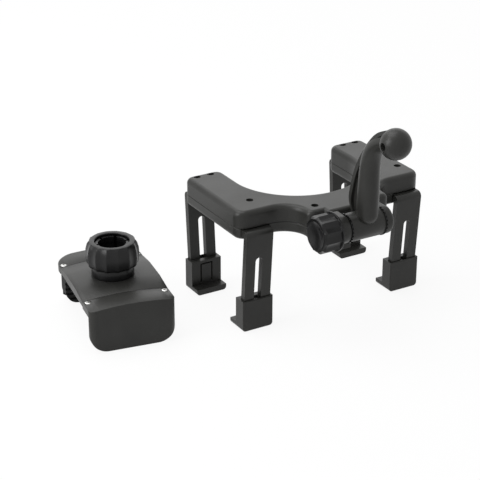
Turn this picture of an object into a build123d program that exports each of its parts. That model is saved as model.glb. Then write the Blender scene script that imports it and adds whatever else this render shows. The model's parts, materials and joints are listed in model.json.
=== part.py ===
from build123d import *
import math
import os

os.makedirs("parts", exist_ok=True)

# Rearview mirror phone holder: a sprung bracket that hooks round the mirror, with a hinged ball arm,
# and the phone clamp that snaps onto the ball, set down beside the bracket with its socket upward.
# X runs along the mirror, minus Y is the driver's side, Z is up.
# The origin is on the floor below the middle of the bracket.

# Housing of the bracket
half_length = 60.7
front_wall_y = -30.3
rear_wall_y = 31.7
housing_z0 = 54.7
seam_z = 61.4
housing_z1 = 71.4
wall = 2.0
front_corner_r = 6.5
rear_corner_r = 4.5
cover_edge_r = 3.0
seam_chamfer = 0.4
block_width = 23.2
bay_r = half_length - block_width
bay_y = 10.5
bay_corner_r = 5.0
tongue_half = 26.5
tongue_blend_r = 13.0
shoulder_y = -48.0
shoulder_r = 4.0
nose_half = 17.5
nose_y = -52.3

# Legs that slide in the housing
leg_inset = 10.8
leg_x = half_length - leg_inset
leg_width = 16.8
leg_thick = 3.6
leg_lean = 0.075
leg_front_out = 35.2
leg_rear_out = 36.2
leg_arm_top = 61.0
leg_bottom = 3.0
leg_bend_r = 3.0
leg_inner_r = 0.5
leg_slot_width = 4.4
leg_slot_bottom = 6.0
leg_slot_top = 44.5
leg_travel = 10.0
front_arm_end = 2.0
rear_arm_end = 14.0

# Screws of the housing, measured from the middle of each leg's arm
post_dx = 4.4
rear_post_y = 28.0
front_post_y = -16.0
tongue_screw_x = 18.5
tongue_screw_y = -40.5
post_r = 2.2
boss_r = 3.0
screw_head_r = 1.9
screw_head_h = 1.6
screw_shank_r = 1.1
screw_seat_z = 65.0
screw_tip_z = 57.2

# Springs of the legs
spring_r = 1.6
spring_bore_r = 0.8
spring_coils = 12
spring_z = 65.0
peg_r = 1.2
peg_top = 67.0
front_peg_dx = -4.4
front_peg_y = -4.5
front_anchor_y = 22.0
rear_peg_y = 17.0
rear_anchor_y = -14.0

# Sliding feet
foot_width = 19.4
foot_height = 18.75
foot_depth = 8.2
foot_skin = 1.1
hook_depth = 6.3
hook_height = 3.5
foot_corner_r = 2.0
foot_edge = 0.5
latch_width = 6.4
latch_gap = 0.8
latch_z0 = 5.0
latch_z1 = 17.0
latch_peg_z = 11.0
latch_peg_size = 3.8

# Hinge
hinge_y = -59.5
hinge_z = 63.2
hub_r = 8.0
hub_half = 11.4
ear_inner = 11.7
ear_outer = 16.6
ear_round = 2.0
yoke_half = 14.3
yoke_back_y = -43.0
yoke_margin = 0.2
bolt_r = 2.5
bolt_head_r = 4.4
bolt_head_h = 2.6
bolt_end_x = -25.2
lip_drop = 4.0

# Knob
knob_x0 = -18.2
knob_x1 = -28.0
knob_r = 10.6
knob_rim = 1.5
knob_rim_step = 0.4
knob_flutes = 11
knob_flute_r = 2.6
knob_flute_depth = 1.3
knob_edge = 1.2
knob_boss_r = 5.6
knob_dish_r = 7.6
knob_dish_depth = 1.8
insert_r = 4.0
insert_x1 = -25.6

# Ball arm, measured forward and up from the hinge axis
rib_a = 5.2
rib_r = 6.0
rib_b0 = 8.5
ball_a = 28.0
ball_b = 56.2
ball_r = 8.5
ball_bore_r = 2.2
blade_half = 3.7
blade_web_half = 2.0
blade_rim = 2.2

# Phone clamp
clamp_x = -113.3
clamp_y = 20.0
clamp_turn = -9.5
clamp_half_w = 24.6
clamp_half_d = 37.5
clamp_z0 = 21.3
clamp_edge_z = 26.9
clamp_crest_z = 28.7
clamp_crown = 1.9
clamp_crest_half = 9.0
clamp_front_r = 3.5
clamp_rear_r = 11.5
clamp_seam_y = 23.1
clamp_seam_gap = 0.3
base_plate_t = 1.2
base_plate_inset = 0.4
base_screw_x = 19.5
base_screw_y = 18.0
base_screw_head_r = 1.8
base_screw_head_h = 0.8
base_screw_shank_r = 0.9
base_screw_grip = 1.4
cavity_half = 16.0
cavity_z1 = 25.0
jaw_wall = 3.0
jaw_corner_r = 10.5
tongue_x0 = 4.0
tongue_x1 = 14.0
tongue_t = 1.7
pad_face_y = 24.5
pad_half_w = 21.5
pad_lift = 0.6
pad_ribs = 6
pad_rib_depth = 1.2
jaw_screw_x = 22.0
jaw_screw_y = 25.3
jaw_screw_r = 1.7
jaw_screw_seat = 3.1
jaw_screw_head_h = 1.0
jaw_screw_shank_r = 0.9
jaw_screw_foot = 0.8
jaw_spring_r = 1.0
jaw_spring_bore_r = 0.4
jaw_spring_coils = 10
jaw_spring_end = 20.0

# Ball socket and collar nut of the clamp
socket_base_r = 12.0
socket_seat_z = 28.2
socket_base_top = 34.6
thread_r = 10.9
finger_top = 47.0
finger_top_r = 9.3
finger_count = 6
finger_slot = 1.6
finger_slot_z0 = 36.5
socket_ball_z = 41.0
socket_mouth_r = 7.9
socket_screw_r = 1.6
socket_screw_head_r = 3.0
nut_z0 = 35.2
nut_belt = 5.0
nut_z1 = 49.0
nut_r = 15.0
nut_top_r = 12.4
nut_mouth_r = 9.8
nut_flutes = 14
nut_flute_r = 6.0
nut_flute_depth = 0.9
nut_flute_tilt = 8.0

# Clearances
slide_gap = 0.3
turn_gap = 0.3
seat_gap = 0.2
screw_gap = 0.1
thread_gap = 0.05


def box(x0, x1, y0, y1, z0, z1):
    middle = Pos((x0 + x1) / 2, (y0 + y1) / 2, (z0 + z1) / 2)
    return middle * Box(abs(x1 - x0), abs(y1 - y0), abs(z1 - z0))


def rod_x(r, x0, x1, y, z):
    return Pos((x0 + x1) / 2, y, z) * Rot(0, 90, 0) * Cylinder(r, abs(x1 - x0))


def rod_y(r, y0, y1, x, z):
    return Pos(x, (y0 + y1) / 2, z) * Rot(90, 0, 0) * Cylinder(r, abs(y1 - y0))


def rod_z(r, z0, z1, x=0.0, y=0.0):
    return Pos(x, y, (z0 + z1) / 2) * Cylinder(r, abs(z1 - z0))


def round_corner(sketch, x, y, r):
    return fillet(sketch.vertices().sort_by_distance((x, y, 0))[0], r)


def profile(points):
    return make_face(Polyline(*points, close=True))


def prism_x(sketch, half):
    return extrude(Plane.YZ * sketch, amount=half, both=True)


def write(shape, name):
    export_step(shape, f"parts/{name}.step")


# Plan of the housing: one half drawn from the nose round the tongue, the end block and the bay
blend_y = front_wall_y - tongue_blend_r
diagonal = math.sqrt(0.5)
nose_line = Polyline(
    (0, nose_y),
    (nose_half, nose_y),
    (nose_half, shoulder_y),
    (tongue_half, shoulder_y),
    (tongue_half, blend_y),
)
blend_arc = ThreePointArc(
    (tongue_half, blend_y),
    (tongue_half + tongue_blend_r * (1 - diagonal), blend_y + tongue_blend_r * diagonal),
    (tongue_half + tongue_blend_r, front_wall_y),
)
block_line = Polyline(
    (tongue_half + tongue_blend_r, front_wall_y),
    (half_length, front_wall_y),
    (half_length, rear_wall_y),
    (bay_r, rear_wall_y),
    (bay_r, bay_y),
)
bay_arc = ThreePointArc(
    (bay_r, bay_y), (bay_r * diagonal, bay_y - bay_r * diagonal), (0, bay_y - bay_r)
)
middle_line = Line((0, bay_y - bay_r), (0, nose_y))
half_plan = make_face([*nose_line.edges(), blend_arc, *block_line.edges(), bay_arc, middle_line])
half_plan = round_corner(half_plan, tongue_half, shoulder_y, shoulder_r)
half_plan = round_corner(half_plan, half_length, front_wall_y, front_corner_r)
half_plan = round_corner(half_plan, half_length, rear_wall_y, rear_corner_r)
half_plan = round_corner(half_plan, bay_r, rear_wall_y, bay_corner_r)
plan = half_plan + mirror(half_plan, about=Plane.YZ)
inner_plan = offset(plan, amount=-wall, kind=Kind.INTERSECTION)

screw_spots = []
for middle_x in (-leg_x, leg_x):
    screw_spots.append((middle_x - post_dx, rear_post_y))
    screw_spots.append((middle_x + post_dx, rear_post_y))
    screw_spots.append((middle_x + post_dx, front_post_y))
screw_spots.append((-tongue_screw_x, tongue_screw_y))
screw_spots.append((tongue_screw_x, tongue_screw_y))

# Upper cover: rounded shell with screw bosses and the anchors of the springs
upper_block = extrude(Pos(0, 0, seam_z) * plan, amount=housing_z1 - seam_z)
upper_block = fillet(upper_block.edges().group_by(Axis.Z)[-1], cover_edge_r)
upper_block = chamfer(upper_block.edges().group_by(Axis.Z)[0], seam_chamfer)
upper_cover = upper_block - extrude(Pos(0, 0, seam_z) * inner_plan, amount=housing_z1 - wall - seam_z)
for x, y in screw_spots:
    upper_cover += rod_z(boss_r, seam_z, housing_z1, x, y) & upper_block
anchor_z0 = spring_z - spring_r
anchor_z1 = housing_z1 - wall / 2
for middle_x in (-leg_x, leg_x):
    upper_cover += rod_z(peg_r, anchor_z0, anchor_z1, middle_x + front_peg_dx, front_anchor_y)
    upper_cover += rod_z(peg_r, anchor_z0, anchor_z1, middle_x, rear_anchor_y)
for x, y in screw_spots:
    upper_cover -= rod_z(screw_head_r + seat_gap, screw_seat_z, housing_z1 + 1, x, y)
    upper_cover -= rod_z(screw_shank_r + seat_gap, seam_z - 1, screw_seat_z, x, y)

# Lower cover: tray with the posts that guide the legs and the openings they slide through
lower_block = extrude(Pos(0, 0, housing_z0) * plan, amount=seam_z - housing_z0)
lower_block = fillet(lower_block.edges().group_by(Axis.Z)[0], cover_edge_r)
lower_block = chamfer(lower_block.edges().group_by(Axis.Z)[-1], seam_chamfer)
lower_floor = housing_z0 + wall
lower_cover = lower_block - extrude(Pos(0, 0, lower_floor) * inner_plan, amount=seam_z - lower_floor)
for x, y in screw_spots:
    lower_cover += rod_z(post_r, lower_floor - wall / 2, seam_z, x, y) & lower_block
for x, y in screw_spots:
    lower_cover -= rod_z(screw_shank_r + thread_gap, screw_tip_z - slide_gap, seam_z + 1, x, y)
leg_arm_bottom = leg_arm_top - leg_thick
gate_half = leg_width / 2 + slide_gap
gate_y = leg_rear_out + 1
front_gate = (-gate_y, front_wall_y + front_corner_r + wall)
rear_gate = (rear_wall_y - rear_corner_r - wall, gate_y)
for middle_x in (-leg_x, leg_x):
    for y0, y1 in (front_gate, rear_gate):
        lower_cover -= box(
            middle_x - gate_half, middle_x + gate_half, y0, y1, leg_arm_bottom - slide_gap, seam_z + 1
        )

# Window in the nose for the root of the yoke
yoke_z0 = lower_floor + yoke_margin
yoke_z1 = housing_z1 - wall - yoke_margin
window_half = yoke_half + yoke_margin
window = box(-window_half, window_half, nose_y - 1, nose_y + wall + 0.5, lower_floor, housing_z1 - wall)
upper_cover -= window
lower_cover -= window

cover_screws = []
for x, y in screw_spots:
    shank = rod_z(screw_shank_r, screw_tip_z, screw_seat_z, x, y)
    head = rod_z(screw_head_r, screw_seat_z, screw_seat_z + screw_head_h, x, y)
    cover_screws.append(shank + head)

write(upper_cover, "upper_cover")
write(lower_cover, "lower_cover")
write(Compound(children=cover_screws), "cover_screws")


# Leg: inverted L with a long slot, drawn for the rear and mirrored for the front
def leg_face(out, z):
    return out - leg_lean * (leg_arm_top - z)


def make_leg(out, arm_end, posts, peg_x, peg_y):
    low = leg_face(out, leg_bottom)
    bend = leg_face(out, leg_arm_bottom)
    outline = profile(
        [
            (arm_end, leg_arm_bottom),
            (arm_end, leg_arm_top),
            (out, leg_arm_top),
            (low, leg_bottom),
            (low - leg_thick, leg_bottom),
            (bend - leg_thick, leg_arm_bottom),
        ]
    )
    outline = round_corner(outline, out, leg_arm_top, leg_bend_r)
    outline = round_corner(outline, bend - leg_thick, leg_arm_bottom, leg_inner_r)
    leg = prism_x(outline, leg_width / 2)
    slot_half = leg_slot_width / 2
    slot_end = leg_slot_top - slot_half
    leg -= box(-slot_half, slot_half, low - 2 * leg_thick, out + 1, leg_slot_bottom, slot_end)
    leg -= rod_y(slot_half, low - 2 * leg_thick, out + 1, 0, slot_end)
    guide_r = post_r + slide_gap
    for dx, y in posts:
        leg -= box(dx - guide_r, dx + guide_r, y - leg_travel, y, leg_arm_bottom - 1, leg_arm_top + 1)
        leg -= rod_z(guide_r, leg_arm_bottom - 1, leg_arm_top + 1, dx, y)
        leg -= rod_z(guide_r, leg_arm_bottom - 1, leg_arm_top + 1, dx, y - leg_travel)
    return leg + rod_z(peg_r, leg_arm_top - 1, peg_top, peg_x, peg_y)


# Foot: sleeve round the leg with a hook for the mirror's edge and a latch that rides in the slot
def make_foot(out):
    face_y = leg_face(out, foot_height) + foot_skin
    inner_y = face_y - foot_depth
    front = Rectangle(foot_width, foot_height, align=(Align.CENTER, Align.MIN))
    front = fillet(front.vertices().group_by(Axis.Y)[0], foot_corner_r)
    shelf = Rectangle(foot_width, hook_height, align=(Align.CENTER, Align.MIN))
    shelf = fillet(shelf.vertices().group_by(Axis.Y)[0], foot_corner_r)
    foot = extrude(Plane((0, face_y, 0), (1, 0, 0), (0, -1, 0)) * front, amount=foot_depth)
    foot = chamfer(foot.faces().sort_by(Axis.Y)[-1].edges(), foot_edge)
    shelf_place = Plane((0, face_y - 1, 0), (1, 0, 0), (0, -1, 0))
    foot += extrude(shelf_place * shelf, amount=foot_depth + hook_depth - 1)
    channel = profile(
        [
            (leg_face(out, -1) + slide_gap, -1),
            (leg_face(out, foot_height + 1) + slide_gap, foot_height + 1),
            (leg_face(out, foot_height + 1) - leg_thick - slide_gap, foot_height + 1),
            (leg_face(out, -1) - leg_thick - slide_gap, -1),
        ]
    )
    foot -= prism_x(channel, leg_width / 2 + slide_gap)
    channel_y = leg_face(out, latch_z0) - leg_thick / 2
    for side in (-1, 1):
        slit = side * (latch_width + latch_gap) / 2
        foot -= box(slit - latch_gap / 2, slit + latch_gap / 2, inner_y - 1, channel_y, latch_z0, latch_z1)
    reach = latch_width / 2 + latch_gap
    foot -= box(-reach, reach, inner_y - 1, channel_y, latch_z1 - latch_gap, latch_z1)
    peg_y1 = leg_face(out, latch_peg_z) - leg_thick * 0.3
    peg_half = latch_peg_size / 2
    foot += box(-peg_half, peg_half, inner_y + 0.5, peg_y1, latch_peg_z - peg_half, latch_peg_z + peg_half)
    return foot


rear_leg = make_leg(
    leg_rear_out, rear_arm_end, [(-post_dx, rear_post_y), (post_dx, rear_post_y)], 0, rear_peg_y
)
front_leg = make_leg(
    leg_front_out, front_arm_end, [(post_dx, -front_post_y)], front_peg_dx, -front_peg_y
)
front_leg = mirror(front_leg, about=Plane.XZ)
rear_foot = make_foot(leg_rear_out)
front_foot = mirror(make_foot(leg_front_out), about=Plane.XZ)


# Spring drawn as a sleeve with one ridge for each coil
def make_spring(y0, y1, r, bore, coils):
    pitch = (y1 - y0) / coils
    points = [(bore, y0), (r * 0.8, y0)]
    for coil in range(coils):
        points.append((r, y0 + pitch * (coil + 0.5)))
        points.append((r * 0.8, y0 + pitch * (coil + 1)))
    points.append((bore, y1))
    return revolve(profile(points), axis=Axis.Y)


front_spring = make_spring(
    front_peg_y + peg_r, front_anchor_y - peg_r, spring_r, spring_bore_r, spring_coils
)
rear_spring = make_spring(
    rear_anchor_y + peg_r, rear_peg_y - peg_r, spring_r, spring_bore_r, spring_coils
)

for middle_x, side in ((-leg_x, "left"), (leg_x, "right")):
    write(Pos(middle_x, 0, 0) * front_leg, f"leg_front_{side}")
    write(Pos(middle_x, 0, 0) * rear_leg, f"leg_rear_{side}")
    write(Pos(middle_x, 0, 0) * front_foot, f"foot_front_{side}")
    write(Pos(middle_x, 0, 0) * rear_foot, f"foot_rear_{side}")
    write(Pos(middle_x + front_peg_dx, 0, spring_z) * front_spring, f"leg_spring_front_{side}")
    write(Pos(middle_x, 0, spring_z) * rear_spring, f"leg_spring_rear_{side}")

# Hinge yoke: two ears on a root that is held between the covers, with a lip under the left ear
hub_clear_r = hub_r + slide_gap
ear_gap_y = nose_y - yoke_margin
yoke = box(-yoke_half, yoke_half, ear_gap_y, yoke_back_y, yoke_z0, yoke_z1)
for side in (-1, 1):
    x0, x1 = side * ear_inner, side * ear_outer
    ear = rod_x(hub_r, x0, x1, hinge_y, hinge_z)
    ear += box(x0, x1, hinge_y, ear_gap_y, hinge_z - hub_r + screw_gap, hinge_z + hub_r - screw_gap)
    ear -= box(x0, x1, ear_gap_y, ear_gap_y + hub_r, hinge_z - hub_r, hinge_z + hub_r)
    if side > 0:
        ear = fillet(ear.faces().sort_by(Axis.X)[-1].edges(), ear_round)
    yoke += ear
lip_top = hinge_z - hub_clear_r
yoke += box(-ear_outer, -rib_r - 1, hinge_y, ear_gap_y, lip_top - lip_drop, lip_top + 1)
yoke -= rod_x(hub_clear_r, -ear_inner, ear_inner, hinge_y, hinge_z)
yoke -= rod_x(bolt_r + screw_gap, -ear_outer - 1, ear_outer + 1, hinge_y, hinge_z)
yoke -= rod_x(bolt_head_r + screw_gap, ear_outer - bolt_head_h, ear_outer + 1, hinge_y, hinge_z)

hinge_bolt = rod_x(bolt_r, bolt_end_x, ear_outer, hinge_y, hinge_z)
hinge_bolt += rod_x(bolt_head_r, ear_outer - bolt_head_h, ear_outer, hinge_y, hinge_z)
hex_socket = extrude(Plane.YZ * RegularPolygon(bolt_r * 0.8, 6), amount=bolt_head_h)
hinge_bolt -= Pos(ear_outer - bolt_head_h * 0.6, hinge_y, hinge_z) * hex_socket
write(yoke, "hinge_yoke")
write(hinge_bolt, "hinge_bolt")

# Knob: fluted grip in front of a thin round rim, with a dished face
grip_r = knob_r - knob_rim_step
boss_x = -ear_outer - slide_gap
knob_outline = Polyline(
    (knob_x1 + knob_dish_depth, 0),
    (insert_x1, 0),
    (insert_x1, insert_r),
    (boss_x, insert_r),
    (boss_x, knob_boss_r),
    (knob_x0, knob_boss_r),
    (knob_x0, knob_r),
    (knob_x0 - knob_rim, knob_r),
    (knob_x0 - knob_rim, grip_r),
    (knob_x1 + knob_edge, grip_r),
    (knob_x1, grip_r - knob_edge),
    (knob_x1, knob_dish_r),
)
dish_r = (knob_dish_r**2 + knob_dish_depth**2) / (2 * knob_dish_depth)
dish_x = knob_x1 + knob_dish_depth - dish_r
dish_turn = math.asin(knob_dish_r / dish_r) / 2
knob_dish = ThreePointArc(
    (knob_x1, knob_dish_r),
    (dish_x + dish_r * math.cos(dish_turn), dish_r * math.sin(dish_turn)),
    (knob_x1 + knob_dish_depth, 0),
)
knob = revolve(make_face([*knob_outline.edges(), knob_dish]), axis=Axis.X)
for step in range(knob_flutes):
    turn = math.tau * (step + 0.5) / knob_flutes
    reach = knob_r + knob_flute_r - knob_flute_depth
    knob -= rod_x(
        knob_flute_r, knob_x1 - 1, knob_x0 - knob_rim, reach * math.cos(turn), reach * math.sin(turn)
    )
knob = Pos(0, hinge_y, hinge_z) * knob
insert = rod_x(insert_r, insert_x1, -ear_outer - slide_gap, hinge_y, hinge_z)
insert -= rod_x(bolt_r + turn_gap, insert_x1 - 1, -ear_outer, hinge_y, hinge_z)
write(knob, "hinge_knob")
write(insert, "knob_insert")


# Ball arm: round front rib that tapers to the ball, a horn-shaped blade behind it and the hinge hub
def at(a, b):
    return (hinge_y - a, hinge_z + b)


# The lower points follow the hub and the rib, and the upper ones follow the ball
horn_tip = at(ball_a - 6.0, ball_b + 6.0)
bend_low = (ball_a - 19.6, ball_b - 10.7)
bend_high = (ball_a - 12.5, ball_b - 3.2)
horn_back = Spline(
    at(-5.2, 5.0),
    at(-6.4, 8.6),
    at(-8.0, 13.0),
    at(-7.4, 19.0),
    at(-4.0, 31.0),
    at(ball_a - 23.4, ball_b - 9.9),
    at(ball_a - 11.8, ball_b + 3.0),
    horn_tip,
)
horn_front = Spline(
    at(ball_a, ball_b),
    at(ball_a - 6.0, ball_b + 0.2),
    at(*bend_high),
    at(*bend_low),
    at(5.6, 34.0),
    at(rib_a, 22.0),
    at(rib_a, rib_b0),
)
horn = make_face(
    [
        horn_back,
        Line(horn_tip, at(ball_a, ball_b)),
        horn_front,
        Line(at(rib_a, rib_b0), at(0, 0)),
        Line(at(0, 0), at(-5.2, 5.0)),
    ]
)
blade = prism_x(horn, blade_half)
pocket = horn & (Pos(-blade_rim, -blade_rim / 2) * horn)
for side in (-1, 1):
    recess = extrude(Plane.YZ * pocket, amount=side * blade_half)
    blade -= Pos(side * blade_web_half, 0, 0) * recess
rib_path = [
    (rib_a, rib_b0, 0.0, rib_r),
    (rib_a, 22.0, 0.0, rib_r),
    (5.6, 34.0, 6.0, 5.7),
    (*bend_low, 26.0, 5.2),
    (*bend_high, 56.0, 4.6),
    (ball_a - 5.0, ball_b - 0.2, 78.0, 4.3),
]
sections = []
for a, b, lean, r in rib_path:
    y, z = at(a, b)
    sections.append(Pos(0, y, z) * Rot(lean, 0, 0) * Circle(r))
rib_end = make_face(
    [Line((0, 0), (rib_r, 0)), RadiusArc((rib_r, 0), (0, -rib_r), rib_r), Line((0, -rib_r), (0, 0))]
)
rib = loft(sections) + Pos(0, *at(rib_a, rib_b0)) * Rot(90, 0, 0) * revolve(rib_end, axis=Axis.Y)
ball = Pos(0, *at(ball_a, ball_b)) * Rot(0, 90, 0) * Sphere(ball_r)
ball_arm = blade + rib
ball_arm += rod_x(hub_r, -hub_half, hub_half, hinge_y, hinge_z)
ball_arm += ball
ball_arm -= rod_x(ball_bore_r, -ball_r - 1, ball_r + 1, *at(ball_a, ball_b))
ball_arm -= rod_x(bolt_r + turn_gap, -hub_half - 1, hub_half + 1, hinge_y, hinge_z)
write(ball_arm, "ball_arm")

# Phone clamp, drawn in its own frame and set down beside the bracket
clamp_place = Pos(clamp_x, clamp_y, 0) * Rot(0, 0, clamp_turn)


def crown_section(y, top):
    arc = ThreePointArc((clamp_half_w, top - clamp_crown), (0, top), (-clamp_half_w, top - clamp_crown))
    frame = Polyline(
        (-clamp_half_w, top - clamp_crown),
        (-clamp_half_w, clamp_z0),
        (clamp_half_w, clamp_z0),
        (clamp_half_w, top - clamp_crown),
    )
    return Plane((0, y, 0), (1, 0, 0), (0, -1, 0)) * make_face([arc, *frame.edges()])


crest_fall = clamp_crest_z - 0.35
crown_line = [
    (-clamp_half_d - 1, clamp_edge_z),
    (-clamp_seam_y, clamp_edge_z),
    (-clamp_crest_half - 3, crest_fall),
    (-clamp_crest_half, clamp_crest_z),
    (clamp_crest_half, clamp_crest_z),
    (clamp_crest_half + 3, crest_fall),
    (clamp_seam_y, clamp_edge_z),
    (clamp_half_d + 1, clamp_edge_z),
]
crown = loft([crown_section(y, top) for y, top in crown_line], ruled=True)
clamp_plan = Rectangle(2 * clamp_half_w, 2 * clamp_half_d)
clamp_plan = fillet(clamp_plan.vertices().group_by(Axis.Y)[0], clamp_front_r)
clamp_plan = fillet(clamp_plan.vertices().group_by(Axis.Y)[-1], clamp_rear_r)
clamp_body = crown & extrude(clamp_plan, amount=2 * clamp_crest_z)

cover_half_d = clamp_seam_y - clamp_seam_gap / 2
plate_top = clamp_z0 + base_plate_t
full = 2 * clamp_half_w
clamp_cover = clamp_body & box(-full, full, -cover_half_d, cover_half_d, plate_top, 2 * clamp_crest_z)
clamp_cover -= box(-cavity_half, cavity_half, -full, full, 0, cavity_z1)
clamp_cover -= rod_z(socket_base_r + seat_gap, socket_seat_z, 2 * clamp_crest_z)
clamp_cover -= rod_z(socket_screw_r + 2 * seat_gap, cavity_z1 - 1, socket_seat_z + 1)
spring_x = (tongue_x0 + tongue_x1) / 2
spring_axis_z = plate_top + slide_gap + tongue_t / 2
spring_peg_y = jaw_spring_end + peg_r
for side in (-1, 1):
    clamp_cover += rod_z(peg_r, plate_top, cavity_z1 + 0.5, side * spring_x, -side * spring_peg_y)

plate_half = clamp_half_w - base_plate_inset
base_plate = box(-plate_half, plate_half, -cover_half_d, cover_half_d, clamp_z0, plate_top)
base_seat_z = clamp_z0 + base_screw_head_h
base_tip_z = plate_top + base_screw_grip
base_screws = []
for x in (-base_screw_x, base_screw_x):
    for y in (-base_screw_y, base_screw_y):
        base_plate -= rod_z(base_screw_head_r + screw_gap, clamp_z0 - 1, base_seat_z, x, y)
        base_plate -= rod_z(base_screw_shank_r + screw_gap, clamp_z0, plate_top + 1, x, y)
        clamp_cover -= rod_z(base_screw_shank_r + thread_gap, plate_top - 1, base_tip_z + seat_gap, x, y)
        base_head = rod_z(base_screw_head_r, clamp_z0 + screw_gap, base_seat_z, x, y)
        base_screws.append(base_head + rod_z(base_screw_shank_r, clamp_z0 + screw_gap, base_tip_z, x, y))
write(clamp_place * clamp_cover, "clamp_cover")
write(clamp_place * base_plate, "clamp_base_plate")
write(clamp_place * Compound(children=base_screws), "base_plate_screws")

# Ball socket: flanged collet whose fingers close on the ball when the nut is turned
socket = revolve(
    Plane.XZ
    * profile(
        [
            (0, socket_seat_z),
            (socket_base_r, socket_seat_z),
            (socket_base_r, socket_seat_z + 3.5),
            (thread_r + 0.4, socket_base_top),
            (thread_r, socket_base_top),
            (thread_r, finger_top - 3.0),
            (finger_top_r, finger_top),
            (0, finger_top),
        ]
    ),
    axis=Axis.Z,
)
socket -= Pos(0, 0, socket_ball_z) * Sphere(ball_r)
socket -= rod_z(socket_mouth_r, socket_ball_z, finger_top + 1)
for step in range(finger_count // 2):
    cut = box(-full, full, -finger_slot / 2, finger_slot / 2, finger_slot_z0, finger_top + 1)
    socket -= Rot(0, 0, 360 * step / finger_count) * cut
screw_bore_top = socket_ball_z - ball_r - 1.0
socket -= rod_z(socket_screw_r + screw_gap, socket_seat_z - 1, screw_bore_top)
socket_screw = rod_z(socket_screw_r, cavity_z1 - 0.5, screw_bore_top - slide_gap)
socket_screw += rod_z(socket_screw_head_r, plate_top + 0.5, cavity_z1)
write(clamp_place * socket, "ball_socket")
write(clamp_place * socket_screw, "socket_screw")

# Collar nut: fluted cone with a round mouth
nut = revolve(
    Plane.XZ
    * profile(
        [
            (thread_r + turn_gap, nut_z0),
            (nut_r - 0.8, nut_z0),
            (nut_r, nut_z0 + 1.4),
            (nut_r, nut_z0 + nut_belt),
            (nut_top_r + 0.9, nut_z1 - 1.2),
            (nut_top_r, nut_z1),
            (nut_mouth_r, nut_z1),
            (nut_mouth_r, finger_top + 0.5),
            (thread_r + turn_gap, finger_top - 2.6),
        ]
    ),
    axis=Axis.Z,
)
nut_reach = nut_r + nut_flute_r - nut_flute_depth
for step in range(nut_flutes):
    flute_place = Pos(nut_reach, 0, nut_z0 + nut_belt) * Rot(0, -nut_flute_tilt, 0)
    flute = flute_place * Cylinder(nut_flute_r, 4 * nut_r)
    nut -= Rot(0, 0, 360 * step / nut_flutes) * flute
write(clamp_place * nut, "collar_nut")

# Jaws with their tongues, rubber pads, screws and springs
jaw_profile = Rectangle(2 * clamp_half_w, clamp_z0 + 1, align=(Align.CENTER, Align.MIN))
jaw_profile = fillet(jaw_profile.vertices().group_by(Axis.Y)[0], jaw_corner_r)
pad_top = clamp_z0 - 0.3
pad_height = pad_top - pad_lift
pad_profile = Pos(0, pad_lift) * Rectangle(2 * pad_half_w, pad_height, align=(Align.CENTER, Align.MIN))
pad_profile = fillet(pad_profile.vertices().group_by(Axis.Y)[0], jaw_corner_r - 3)
plan_prism = extrude(clamp_plan, amount=2 * clamp_crest_z)
pad_back = clamp_half_d - jaw_wall
rib_pitch = pad_height / (pad_ribs + 0.5)
tongue_z0 = plate_top + slide_gap
jaw_seat_z = clamp_z0 + jaw_screw_seat
jaw_foot_z = clamp_z0 + jaw_screw_foot
seam = clamp_seam_y + clamp_seam_gap / 2
for side, name in ((-1, "front"), (1, "rear")):
    jaw = clamp_body & box(-full, full, side * seam, side * full, clamp_z0, 2 * clamp_crest_z)
    skirt_place = Plane((0, side * clamp_half_d, 0), (1, 0, 0), (0, -1, 0))
    jaw += extrude(skirt_place * jaw_profile, amount=side * jaw_wall) & plan_prism
    jaw += box(side * tongue_x0, side * tongue_x1, 0, side * (seam + 1), tongue_z0, tongue_z0 + tongue_t)
    pad_place = Plane((0, side * pad_back, 0), (1, 0, 0), (0, -1, 0))
    pad = extrude(pad_place * pad_profile, amount=side * (pad_back - pad_face_y)) & plan_prism
    for rib in range(pad_ribs):
        z = pad_lift + rib_pitch * (rib + 0.75)
        groove_y = side * (pad_face_y + pad_rib_depth)
        pad -= box(-full, full, side * (pad_face_y - 1), groove_y, z, z + rib_pitch / 2)
    screws = []
    for x in (-jaw_screw_x, jaw_screw_x):
        y = side * jaw_screw_y
        jaw -= rod_z(jaw_screw_r + screw_gap, jaw_seat_z, 2 * clamp_crest_z, x, y)
        jaw -= rod_z(jaw_screw_shank_r + screw_gap, jaw_foot_z - seat_gap, jaw_seat_z + screw_gap, x, y)
        head = rod_z(jaw_screw_r, jaw_seat_z, jaw_seat_z + jaw_screw_head_h, x, y)
        screws.append(head + rod_z(jaw_screw_shank_r, jaw_foot_z, jaw_seat_z + screw_gap, x, y))
    spring_y0, spring_y1 = sorted((0, -side * jaw_spring_end))
    spring = make_spring(spring_y0, spring_y1, jaw_spring_r, jaw_spring_bore_r, jaw_spring_coils)
    write(clamp_place * jaw, f"{name}_jaw")
    write(clamp_place * pad, f"{name}_jaw_pad")
    write(clamp_place * Compound(children=screws), f"{name}_jaw_screws")
    write(clamp_place * Pos(side * spring_x, 0, spring_axis_z) * spring, f"jaw_spring_{name}")
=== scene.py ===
# %% [markdown]
# The holder is a sprung bracket that hooks round a car's rearview mirror, with a ball arm, and the phone clamp
# that snaps onto the ball, set down beside it.
# All of it could be modelled in Blender, but its solids are already packed at their true sizes.
# So they are loaded as they are, and this lesson adds the finishes, the light and the finest detail.

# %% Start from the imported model
import json
import math

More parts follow.
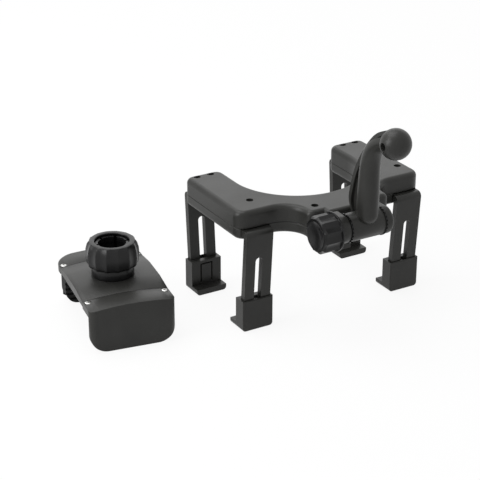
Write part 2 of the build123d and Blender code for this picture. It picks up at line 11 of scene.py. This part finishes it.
import bpy
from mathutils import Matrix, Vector


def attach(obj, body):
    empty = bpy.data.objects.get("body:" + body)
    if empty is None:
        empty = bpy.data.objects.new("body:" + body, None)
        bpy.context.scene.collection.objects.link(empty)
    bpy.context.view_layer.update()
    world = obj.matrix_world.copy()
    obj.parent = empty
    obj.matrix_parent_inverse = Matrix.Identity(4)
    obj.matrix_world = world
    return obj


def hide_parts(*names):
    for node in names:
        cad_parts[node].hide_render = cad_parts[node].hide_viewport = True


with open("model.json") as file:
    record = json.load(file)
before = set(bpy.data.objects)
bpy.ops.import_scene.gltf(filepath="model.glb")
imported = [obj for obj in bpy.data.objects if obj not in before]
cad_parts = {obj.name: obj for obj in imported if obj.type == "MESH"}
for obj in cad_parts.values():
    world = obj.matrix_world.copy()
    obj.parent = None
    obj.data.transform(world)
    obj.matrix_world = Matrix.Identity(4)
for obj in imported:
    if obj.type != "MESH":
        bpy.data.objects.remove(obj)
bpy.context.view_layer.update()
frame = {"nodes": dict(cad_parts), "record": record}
nodes = frame["nodes"]
MM = 0.001
bpy.ops.object.select_all(action="DESELECT")

# %% [markdown]
# The holder is photographed from its front left corner with a long lens, a little above it.
# A camera can be aimed with a constraint or placed by numbers.
# Numbers are used here, because they come from lines on the housing, the legs and the feet
# that were fitted to the picture.

# %% Camera
LENS_MM = 120.0
SENSOR_MM = 36.0
NEAREST = 0.01
FURTHEST = 20.0

camera_data = bpy.data.cameras.new("view_of_the_holder")
camera_data.lens = LENS_MM
camera_data.sensor_width = SENSOR_MM
camera_data.clip_start = NEAREST
camera_data.clip_end = FURTHEST
camera = bpy.data.objects.new("view_of_the_holder", camera_data)
camera.location = (-0.4611, -0.7144, 0.4208)
camera.rotation_euler = (math.radians(65.30), 0.0, math.radians(-30.38))
bpy.context.scene.collection.objects.link(camera)
bpy.context.scene.camera = camera
print("camera", [round(c, 3) for c in camera.location])

# %% [markdown]
# The holder stands on a white table in front of a white wall, so dark plastic mirrors white all round.
# A light tent could be modelled, but a white world and a floor that glows for the camera do the same.
# Light Path keeps that glow for what the camera and the reflections see, so it doesn't light the holder.
# The first helpers add a node with its settings, and join the kinds of ray that see the glow.

# %% Rays that see the white surroundings
SEEN_BY = ("Is Camera Ray", "Is Glossy Ray", "Is Transmission Ray")


def add_node(tree, kind, place, sockets=None, **settings):
    node = tree.nodes.new(kind)
    node.location = place
    for name, value in settings.items():
        setattr(node, name, value)
    for socket, value in (sockets or {}).items():
        node.inputs[socket].default_value = value
    return node


def seen_directly(tree):
    path = add_node(tree, "ShaderNodeLightPath", (-900, 300))
    seen = path.outputs[SEEN_BY[0]]
    for step, ray in enumerate(SEEN_BY[1:]):
        either = add_node(tree, "ShaderNodeMath", (180 * step - 700, 300), operation="MAXIMUM")
        tree.links.new(seen, either.inputs[0])
        tree.links.new(path.outputs[ray], either.inputs[1])
        seen = either.outputs[0]
    return seen


def mix_surroundings(tree, share, lighting, glowing, out):
    mix = add_node(tree, "ShaderNodeMixShader", (0, 0))
    tree.links.new(share, mix.inputs[0])
    tree.links.new(lighting.outputs[0], mix.inputs[1])
    tree.links.new(glowing.outputs[0], mix.inputs[2])
    tree.links.new(mix.outputs[0], out.inputs["Surface"])


print("the glow is seen by:", ", ".join(SEEN_BY))

# %% [markdown]
# The table is a sheet of white paper. A white diffuse plane alone would render grey away from the lamps.
# So nine tenths of what is seen is a glow of strength 1, and the rest is paper, which keeps a soft shadow.

# %% White table
WHITE = (1.0, 1.0, 1.0, 1.0)
PAPER = (0.8, 0.8, 0.8, 1.0)
TABLE_SIZE = 8.0
TABLE_DROP = 0.3 * MM
GLOW_SHARE = 0.9


def new_finish(name):
    material = bpy.data.materials.new(name)
    material.use_nodes = True
    material.node_tree.nodes.clear()
    return material


bpy.ops.mesh.primitive_plane_add(size=TABLE_SIZE, location=(0.0, 0.0, -TABLE_DROP))
floor = bpy.context.active_object
floor.name = "white_table"
table_white = new_finish("table_white")
tree = table_white.node_tree
paper = add_node(tree, "ShaderNodeBsdfDiffuse", (-300, 0), {"Color": PAPER})
glow = add_node(tree, "ShaderNodeEmission", (-300, -160), {"Color": WHITE, "Strength": 1.0})
share = add_node(tree, "ShaderNodeMath", (-320, 300), {1: GLOW_SHARE}, operation="MULTIPLY")
out = add_node(tree, "ShaderNodeOutputMaterial", (200, 0))
tree.links.new(seen_directly(tree), share.inputs[0])
mix_surroundings(tree, share.outputs[0], paper, glow, out)
floor.data.materials.append(table_white)
print("table:", TABLE_SIZE, "m square, lowered by", TABLE_DROP / MM, "mm")

# %% [markdown]
# The walls are white and far away. They could be planes, but the world is simpler and has no corners.
# It lights the holder at about half strength, and shows as plain white to the camera and in reflections.

# %% White room
ROOM_STRENGTH = 0.55

world = bpy.data.worlds.new("white_room")
bpy.context.scene.world = world
world.use_nodes = True
tree = world.node_tree
tree.nodes.clear()
room = add_node(tree, "ShaderNodeBackground", (-300, 0), {"Color": WHITE, "Strength": ROOM_STRENGTH})
wall_white = add_node(tree, "ShaderNodeBackground", (-300, -160), {"Color": WHITE, "Strength": 1.0})
out = add_node(tree, "ShaderNodeOutputWorld", (200, 0))
mix_surroundings(tree, seen_directly(tree), room, wall_white, out)
bpy.context.scene.view_settings.view_transform = "Standard"
print("room light:", ROOM_STRENGTH)

# %% [markdown]
# Three softboxes light the holder: one above draws the tops, one at the left draws the ends of the blocks, and
# a weak one behind draws a bright line along the far edges.
# Small lamps would leave hard spots on the ball, so each is a broad area lamp, turned to the holder's middle.

# %% Softboxes, each with its place in metres, its size in metres and its power in watts
MIDDLE_OF_HOLDER = (-0.03, 0.0, 0.05)
SOFTBOXES = {
    "softbox_above": ((-0.25, 0.35, 1.1), (0.9, 0.9), 8.0),
    "softbox_left": ((-1.1, 0.1, 0.6), (0.6, 0.8), 9.0),
    "softbox_behind": ((0.50, 0.95, 0.58), (1.3, 0.5), 1.6),
}
for name, (place, size, power) in SOFTBOXES.items():
    lamp_data = bpy.data.lights.new(name, "AREA")
    lamp_data.shape = "RECTANGLE"
    lamp_data.size = size[0]
    lamp_data.size_y = size[1]
    lamp_data.energy = power
    lamp = bpy.data.objects.new(name, lamp_data)
    lamp.location = place
    aim = Vector(MIDDLE_OF_HOLDER) - Vector(place)
    lamp.rotation_euler = aim.to_track_quat("-Z", "Y").to_euler()
    lamp.visible_camera = False
    bpy.context.scene.collection.objects.link(lamp)
    print(name, power, "W")

# %% [markdown]
# Nearly everything is injection-moulded plastic. Its tool is lightly textured, so the black has a fine grain
# and a roughness that wanders a little, never one flat tone.
# An image could carry that grain, but noise on object coordinates needs no seams and fits every piece.

# %% Moulded plastic and rubber
CLOUD_SCALE = 45.0
GRAIN_STRENGTH = 0.35


def link(tree, giver, output, taker, socket):
    tree.links.new(giver.outputs[output], taker.inputs[socket])


def tone_ramp(tree, place, positions, tones):
    ramp = add_node(tree, "ShaderNodeValToRGB", place)
    for element, position, tone in zip(ramp.color_ramp.elements, positions, tones):
        element.position = position
        element.color = (*tone, 1.0)
    return ramp


def moulded(name, tones, roughness, grain, depth, specular):
    material = new_finish(name)
    tree = material.node_tree
    place = add_node(tree, "ShaderNodeTexCoord", (-1100, 0))
    fine = add_node(tree, "ShaderNodeTexNoise", (-850, 150), {"Scale": grain, "Detail": 3.0})
    cloud = add_node(tree, "ShaderNodeTexNoise", (-850, -150), {"Scale": CLOUD_SCALE, "Detail": 4.0})
    tone = tone_ramp(tree, (-600, 150), (0.3, 0.75), tones)
    limits = {"From Min": 0.3, "From Max": 0.7, "To Min": roughness[0], "To Max": roughness[1]}
    rough = add_node(tree, "ShaderNodeMapRange", (-600, -150), limits)
    bump = add_node(tree, "ShaderNodeBump", (-400, -350), {"Strength": GRAIN_STRENGTH, "Distance": depth})
    shader = add_node(tree, "ShaderNodeBsdfPrincipled", (-150, 0), {"Specular IOR Level": specular})
    out = add_node(tree, "ShaderNodeOutputMaterial", (200, 0))
    link(tree, place, "Object", fine, "Vector")
    link(tree, place, "Object", cloud, "Vector")
    link(tree, cloud, "Fac", tone, "Fac")
    link(tree, cloud, "Fac", rough, "Value")
    link(tree, fine, "Fac", bump, "Height")
    link(tree, tone, "Color", shader, "Base Color")
    link(tree, rough, "Result", shader, "Roughness")
    link(tree, bump, "Normal", shader, "Normal")
    link(tree, shader, 0, out, "Surface")
    return material


charcoal_tones = ((0.016, 0.016, 0.0147), (0.025, 0.025, 0.0232))
black_tones = ((0.004, 0.004, 0.0042), (0.008, 0.008, 0.0082))
rubber_tones = ((0.005, 0.005, 0.005), (0.009, 0.009, 0.009))
charcoal = moulded("charcoal_moulding", charcoal_tones, (0.32, 0.42), 1500.0, 0.10 * MM, 0.26)
black = moulded("black_moulding", black_tones, (0.24, 0.34), 1800.0, 0.06 * MM, 0.26)
rubber = moulded("jaw_rubber", rubber_tones, (0.62, 0.78), 2500.0, 0.20 * MM, 0.2)
print("mouldings:", charcoal.name, black.name, rubber.name)

# %% [markdown]
# The screws are zinc-plated steel and the insert is turned brass. Turning leaves faint streaks under the plating.
# They could be real grooves, but those would be far finer than a pixel.
# So a stretched noise drives the roughness and the tone instead of a smooth mirror.

# %% Metal
STREAK_SCALE = 900.0
STREAK_STRETCH = (1.0, 1.0, 6.0)


def turned_metal(name, tones, roughness):
    material = new_finish(name)
    tree = material.node_tree
    place = add_node(tree, "ShaderNodeTexCoord", (-1100, 0))
    stretch = add_node(tree, "ShaderNodeMapping", (-920, 0), {"Scale": STREAK_STRETCH})
    streak = add_node(tree, "ShaderNodeTexNoise", (-720, 0), {"Scale": STREAK_SCALE, "Detail": 3.0})
    tone = tone_ramp(tree, (-500, 150), (0.3, 0.7), tones)
    limits = {"To Min": roughness[0], "To Max": roughness[1]}
    rough = add_node(tree, "ShaderNodeMapRange", (-500, -150), limits)
    shader = add_node(tree, "ShaderNodeBsdfPrincipled", (-150, 0), {"Metallic": 1.0})
    out = add_node(tree, "ShaderNodeOutputMaterial", (200, 0))
    link(tree, place, "Object", stretch, "Vector")
    link(tree, stretch, "Vector", streak, "Vector")
    link(tree, streak, "Fac", tone, "Fac")
    link(tree, streak, "Fac", rough, "Value")
    link(tree, tone, "Color", shader, "Base Color")
    link(tree, rough, "Result", shader, "Roughness")
    link(tree, shader, 0, out, "Surface")
    return material


zinc = turned_metal("zinc_screw", ((0.50, 0.50, 0.49), (0.72, 0.72, 0.70)), (0.22, 0.42))
brass = turned_metal("turned_brass", ((0.55, 0.40, 0.16), (0.74, 0.56, 0.27)), (0.25, 0.42))
print("metals:", zinc.name, brass.name)

# %% [markdown]
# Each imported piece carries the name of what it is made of. Finishes could be given piece by piece, but a table
# from that name to a finish treats all pieces alike.
# The feet are the one exception: they are as light as the legs they slide on, so they get the charcoal.

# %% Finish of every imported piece
finish_of_slot = {
    "charcoal_plastic": charcoal,
    "black_plastic": black,
    "black_rubber": rubber,
    "steel": zinc,
    "brass": brass,
}
slot_of_node = {entry["node"]: entry["material_slot"] for entry in frame["record"]["subparts"]}
for name, node in nodes.items():
    finish = charcoal if name.startswith("foot_") else finish_of_slot[slot_of_node[name]]
    node.data.materials.clear()
    node.data.materials.append(finish)
print("finishes:", sorted(set(slot_of_node.values())))

# %% [markdown]
# A moulding has no razor edges: the tool's corners are eased by a few tenths of a millimetre, and that thin band
# catches the light. Every edge could be rounded in the solids, at a high cost in faces.
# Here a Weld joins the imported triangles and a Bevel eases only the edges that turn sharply.
# The two covers are left out, because their solids are rounded already.

# %% Eased edges
EASED_WIDTH = 0.25 * MM
SHARP_EDGE = 40.0
JOIN_WITHIN = 0.01 * MM
already_round = ("upper_cover", "lower_cover")
plastics = ("charcoal_plastic", "black_plastic")
eased = [name for name in nodes if slot_of_node[name] in plastics and name not in already_round]


def ease_edges(piece, width, sharper_than):
    bevel = piece.modifiers.new("eased_edges", "BEVEL")
    bevel.width = width
    bevel.segments = 2
    bevel.limit_method = "ANGLE"
    bevel.angle_limit = math.radians(sharper_than)


for name in eased:
    weld = nodes[name].modifiers.new("join_triangles", "WELD")
    weld.merge_threshold = JOIN_WITHIN
    ease_edges(nodes[name], EASED_WIDTH, SHARP_EDGE)
print("eased mouldings:", len(eased))

# %% [markdown]
# Four bright screws hold the jaws to their tongues. Each has a low domed head with a cross recess, pressed by
# a punch when the screw is headed, and a plain shank below.
# The head could be spun from a profile, but a cylinder is quicker: two insets raise its dome,
# and the face below is inset and extruded into the shank.

# %% Blank of the cross-head screw
HEAD_R = 1.7 * MM
HEAD_H = 1.0 * MM
SHANK_R = 0.9 * MM
SHANK_LENGTH = 2.3 * MM
DOME_STEPS = ((0.3 * HEAD_R, 0.2 * HEAD_H), (0.3 * HEAD_R, 0.06 * HEAD_H))


def select_faces(piece, wanted):
    bpy.ops.object.mode_set(mode="OBJECT")
    for polygon in piece.data.polygons:
        polygon.select = wanted(polygon)
    bpy.ops.object.mode_set(mode="EDIT")


bpy.ops.object.select_all(action="DESELECT")
bpy.ops.mesh.primitive_cylinder_add(vertices=32, radius=HEAD_R, depth=HEAD_H, location=(0.0, 0.0, 0.0))
screw = bpy.context.active_object
screw.name = "cross_head_screw"
bpy.ops.object.mode_set(mode="EDIT")
bpy.ops.mesh.select_mode(type="FACE")
select_faces(screw, lambda polygon: polygon.normal.z > 0.9)
for inset, lift in DOME_STEPS:
    bpy.ops.mesh.inset(thickness=inset)
    bpy.ops.transform.translate(value=(0.0, 0.0, lift))
select_faces(screw, lambda polygon: polygon.normal.z < -0.9)
bpy.ops.mesh.inset(thickness=HEAD_R - SHANK_R)
bpy.ops.mesh.extrude_region_move(TRANSFORM_OT_translate={"value": (0.0, 0.0, -SHANK_LENGTH)})
bpy.ops.object.mode_set(mode="OBJECT")
print("screw blank faces:", len(screw.data.polygons))

# %% [markdown]
# The recess could be painted on, but a real hollow keeps its dark centre from every side.
# A cube is stretched into a bar, a copy is turned across it, and a Boolean cuts both from the head.

# %% Cross recess
RECESS_LENGTH = 1.3 * HEAD_R
RECESS_WIDTH = 0.5 * MM
RECESS_HEIGHT = 1.2 * HEAD_H
RECESS_MIDDLE = 0.65 * HEAD_H
SMOOTH_SCREW = 25.0


def pick(*pieces):
    bpy.ops.object.select_all(action="DESELECT")
    for piece in pieces:
        piece.select_set(True)
    bpy.context.view_layer.objects.active = pieces[0]


bpy.ops.object.select_all(action="DESELECT")
bpy.ops.mesh.primitive_cube_add(size=1.0, location=(0.0, 0.0, RECESS_MIDDLE))
recess = bpy.context.active_object
bpy.ops.object.mode_set(mode="EDIT")
bpy.ops.mesh.select_all(action="SELECT")
bpy.ops.transform.resize(value=(RECESS_LENGTH, RECESS_WIDTH, RECESS_HEIGHT))
bpy.ops.mesh.duplicate()
bpy.ops.transform.rotate(value=math.radians(90.0), orient_axis="Z", center_override=(0.0, 0.0, 0.0))
bpy.ops.object.mode_set(mode="OBJECT")
cut = screw.modifiers.new("cross_recess", "BOOLEAN")
cut.operation = "DIFFERENCE"
cut.solver = "EXACT"
cut.use_self = True
cut.object = recess
pick(screw)
bpy.ops.object.modifier_apply(modifier="cross_recess")
bpy.data.objects.remove(recess)
bpy.ops.object.shade_smooth_by_angle(angle=math.radians(SMOOTH_SCREW))
print("screw faces:", len(screw.data.polygons))

# %% [markdown]
# Each jaw has two of these screws. Their seats could be typed in, but then they might drift from the solids.
# So the middles of the plain packed heads are measured, a copy of the screw is set on each, and the two
# are joined into one piece that rides on its jaw and replaces the plain pair.

# %% Screws in their seats
HEAD_FACE = 0.05 * MM


def head_middles(node):
    top = max(vertex.co.z for vertex in node.data.vertices)
    rim = [vertex.co for vertex in node.data.vertices if vertex.co.z > top - HEAD_FACE]
    middle_x = (min(co.x for co in rim) + max(co.x for co in rim)) / 2
    left = [co for co in rim if co.x < middle_x]
    right = [co for co in rim if co.x >= middle_x]
    return [sum(group, Vector()) / len(group) for group in (left, right)]


def copy_at(piece, place):
    copy = piece.copy()
    copy.data = piece.data.copy()
    copy.location = place
    bpy.context.scene.collection.objects.link(copy)
    return copy


def settle(piece):
    pick(piece)
    bpy.ops.object.transform_apply(location=True, rotation=True, scale=True)


half_head = Vector((0.0, 0.0, HEAD_H / 2))
for end in ("front", "rear"):
    spots = head_middles(nodes[f"{end}_jaw_screws"])
    pick(*[copy_at(screw, spot - half_head) for spot in spots])
    bpy.ops.object.join()
    pair = bpy.context.active_object
    settle(pair)
    pair.name = f"{end}_cross_head_screws"
    pair.data.materials.clear()
    pair.data.materials.append(zinc)
    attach(pair, f"jaw_{end}")
    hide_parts(f"{end}_jaw_screws")
    print(pair.name, "faces:", len(pair.data.polygons))
bpy.data.objects.remove(screw)

# %% [markdown]
# The collar nut and the knob are gripped by hand, so both have broad shallow flutes with ridges between them
# that reach the top edge and scallop it. They are moulded in two halves of a tool that open along the axis.
# They could be cut with cylinders as the solids are, but then the ridges fade out before the edge.
# Here a circle is extruded loop by loop into the turned shape. An open bore is closed by a bridge.

# %% Blank of the collar nut, from its foot over the top and down the bore, as radius and height in mm
POINTS_PER_FLUTE = 4
NUT_FLUTES = 14
NUT_LOOPS = [
    (13.9, 34.4), (14.8, 35.8), (15.2, 40.0), (14.9, 44.0), (14.1, 46.9), (13.3, 48.1), (12.7, 48.4),
    (10.1, 48.4), (9.8, 48.1), (9.8, 47.5), (11.2, 44.4), (11.2, 36.0), (12.0, 34.4),
]


def turned(name, loops, columns, open_bore):
    bpy.ops.object.select_all(action="DESELECT")
    bpy.ops.mesh.primitive_circle_add(vertices=columns, radius=loops[0][0] * MM)
    piece = bpy.context.active_object
    piece.name = name
    bpy.ops.object.mode_set(mode="EDIT")
    bpy.ops.mesh.select_mode(type="EDGE")
    bpy.ops.mesh.select_all(action="SELECT")
    bpy.ops.transform.translate(value=(0.0, 0.0, loops[0][1] * MM))
    if not open_bore:
        bpy.ops.mesh.edge_face_add()
    for (r0, h0), (r1, h1) in zip(loops, loops[1:]):
        bpy.ops.mesh.extrude_edges_move(TRANSFORM_OT_translate={"value": (0.0, 0.0, (h1 - h0) * MM)})
        bpy.ops.transform.resize(value=(r1 / r0, r1 / r0, 1.0), center_override=(0.0, 0.0, 0.0))
    if open_bore:
        bpy.ops.mesh.select_all(action="DESELECT")
        bpy.ops.mesh.select_non_manifold()
        bpy.ops.mesh.bridge_edge_loops()
    else:
        bpy.ops.mesh.edge_face_add()
    bpy.ops.object.mode_set(mode="OBJECT")
    return piece


nut_columns = NUT_FLUTES * POINTS_PER_FLUTE
nut = turned("fluted_collar_nut", NUT_LOOPS, nut_columns, open_bore=True)
print("nut blank faces:", len(nut.data.polygons))

# %% [markdown]
# Every flute has four columns of points: one stays as the ridge, and three are drawn inwards as the hollow.
# They could be picked by hand, but their angle round the axis finds them in code.
# The last step turns all faces outwards.

# %% Flutes of the collar nut
NUT_DEPTH = 0.9
NUT_GRIP_R = 15.0
NUT_GRIP_FROM = 12.9 * MM
HOLLOW = {1: 0.75, 2: 1.0, 3: 0.75}


def select_points(piece, wanted):
    bpy.ops.object.mode_set(mode="EDIT")
    bpy.ops.mesh.select_mode(type="VERT")
    bpy.ops.mesh.select_all(action="DESELECT")
    bpy.ops.object.mode_set(mode="OBJECT")
    for vertex in piece.data.vertices:
        vertex.select = wanted(vertex.co)
    bpy.ops.object.mode_set(mode="EDIT")


def draw_in_flutes(piece, columns, on_grip, grip_r, depth):
    def column_of(co):
        return round(math.atan2(co.y, co.x) / math.tau * columns) % POINTS_PER_FLUTE

    for column, share in HOLLOW.items():
        select_points(piece, lambda co: on_grip(co) and column_of(co) == column)
        shrink = 1.0 - share * depth / grip_r
        bpy.ops.transform.resize(value=(shrink, shrink, 1.0), center_override=(0.0, 0.0, 0.0))
    bpy.ops.mesh.select_all(action="SELECT")
    bpy.ops.mesh.normals_make_consistent(inside=False)
    bpy.ops.object.mode_set(mode="OBJECT")


draw_in_flutes(nut, nut_columns, lambda co: co.xy.length > NUT_GRIP_FROM, NUT_GRIP_R, NUT_DEPTH)
print("nut flutes:", NUT_FLUTES, "each", NUT_DEPTH, "mm deep")

# %% [markdown]
# The nut sits round the socket in the middle of the clamp and turns there.
# Its ridges are eased by a Bevel that is applied, and faces that meet at a low angle are shaded smooth.
# Smoothing all of it would blur the flutes, so an angle decides.

# %% Collar nut in its place
CLAMP_MIDDLE = Vector((-113.3, 20.0, 0.0)) * MM
GRIP_EASE = 0.2 * MM
GRIP_EDGE = 28.0
SMOOTH_GRIP = 24.0


def finish_turning(piece, place, turn, body, node):
    piece.location = place
    piece.rotation_euler = turn
    settle(piece)
    ease_edges(piece, GRIP_EASE, GRIP_EDGE)
    bpy.ops.object.modifier_apply(modifier="eased_edges")
    bpy.ops.object.shade_smooth_by_angle(angle=math.radians(SMOOTH_GRIP))
    piece.data.materials.append(black)
    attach(piece, body)
    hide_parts(node)
    print(piece.name, "faces:", len(piece.data.polygons))


finish_turning(nut, CLAMP_MIDDLE, (0.0, 0.0, 0.0), "collar", "collar_nut")

# %% [markdown]
# The knob clamps the hinge. It has a thin plain rim next to the ear, a fluted grip and a dished face.
# It could be a new model, but it is turned and fluted like the nut: only its loops are closed at both ends,
# because its bore stops at the threaded insert. It is then laid along the hinge.

# %% Knob, from the bottom of its bore round the rim and the grip to the dish, along the hinge from the ear
HINGE = Vector((0.0, -59.5, 63.2)) * MM
ALONG_HINGE = (0.0, math.radians(-90.0), 0.0)
KNOB_FLUTES = 11
KNOB_DEPTH = 1.2
KNOB_GRIP_R = 10.8
KNOB_LOOPS = [
    (0.3, 25.6), (4.0, 25.6), (4.0, 16.9), (5.6, 16.9), (5.6, 18.4), (11.0, 18.4), (11.2, 18.6), (11.2, 19.4),
    (10.8, 19.5), (10.8, 28.6), (10.2, 29.6), (9.4, 30.0), (7.8, 30.0), (6.0, 29.2), (3.0, 28.4), (0.3, 28.2),
]


def on_knob_grip(co):
    return co.z > 19.45 * MM and 9.8 * MM < co.xy.length < 11.0 * MM


knob_columns = KNOB_FLUTES * POINTS_PER_FLUTE
knob = turned("fluted_knob", KNOB_LOOPS, knob_columns, open_bore=False)
draw_in_flutes(knob, knob_columns, on_knob_grip, KNOB_GRIP_R, KNOB_DEPTH)
finish_turning(knob, HINGE, ALONG_HINGE, "knob", "hinge_knob")

# %% [markdown]
# The hub of the ball arm and the ears of the hinge meet in rings of small teeth, so the arm clicks from stop
# to stop. From outside they show as a dotted seam at each end of the hub.
# The teeth could be cut in the solid. They are modelled here as a thin ring that stands just proud of the hub:
# every second face of a short cylinder is pushed out.

# %% One toothed ring
RING_R = 8.05 * MM
RING_WIDTH = 0.8 * MM
RING_STEPS = 48
TOOTH = 0.35 * MM
RING_TURN = (0.0, math.radians(90.0), 0.0)


def on_a_tooth(polygon):
    turn = math.atan2(polygon.center.z, polygon.center.y) / math.tau * RING_STEPS
    return abs(polygon.normal.x) < 0.5 and math.floor(turn) % 2 == 0


bpy.ops.object.select_all(action="DESELECT")
bpy.ops.mesh.primitive_cylinder_add(vertices=RING_STEPS, radius=RING_R, depth=RING_WIDTH, rotation=RING_TURN)
ring = bpy.context.active_object
settle(ring)
bpy.ops.object.mode_set(mode="EDIT")
bpy.ops.mesh.select_mode(type="FACE")
select_faces(ring, on_a_tooth)
bpy.ops.mesh.extrude_region_shrink_fatten(TRANSFORM_OT_shrink_fatten={"value": TOOTH})
bpy.ops.mesh.select_all(action="SELECT")
bpy.ops.mesh.normals_make_consistent(inside=False)
bpy.ops.object.mode_set(mode="OBJECT")
print("teeth on a ring:", RING_STEPS // 2, "faces:", len(ring.data.polygons))

# %% [markdown]
# One ring sits at each end of the hub, just inside the ear. A Mirror modifier could make the second,
# but a copy with a mesh of its own is plainer and keeps its faces outwards. Both ride on the arm.

# %% Rings at both ends of the hub
RING_X = 11.15 * MM

for side, x in (("left", -RING_X), ("right", RING_X)):
    copy = copy_at(ring, HINGE + Vector((x, 0.0, 0.0)))
    copy.name = f"hinge_teeth_{side}"
    settle(copy)
    copy.data.materials.clear()
    copy.data.materials.append(black)
    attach(copy, "arm")
    print(copy.name, "faces:", len(copy.data.polygons))
bpy.data.objects.remove(ring)
